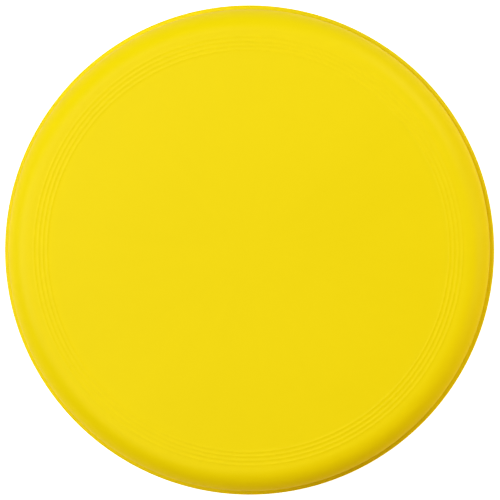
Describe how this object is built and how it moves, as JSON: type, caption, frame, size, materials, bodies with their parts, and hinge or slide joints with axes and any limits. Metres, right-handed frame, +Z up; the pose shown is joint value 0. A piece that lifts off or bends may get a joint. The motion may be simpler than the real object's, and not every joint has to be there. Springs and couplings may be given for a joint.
{
  "type": "flying disc",
  "caption": "Round closed-top flying disc with fine concentric flight rings, a rounded shoulder and a separate band round its lower rim.",
  "frame": {"origin": "centre of the rim band's foot, the flat ring that the disc rests on", "axes": "+Z up through the middle of the plate, the disc's axis of rotation; X and Y are any two radii at right angles"},
  "size_m": [0.21, 0.21, 0.022],
  "materials": {
    "shell_plastic": "satin",
    "band_plastic": "satin"
  },
  "bodies": {
    "root": {"disc_shell": "shell_plastic", "rim_band": "band_plastic"}
  },
  "joints": []
}
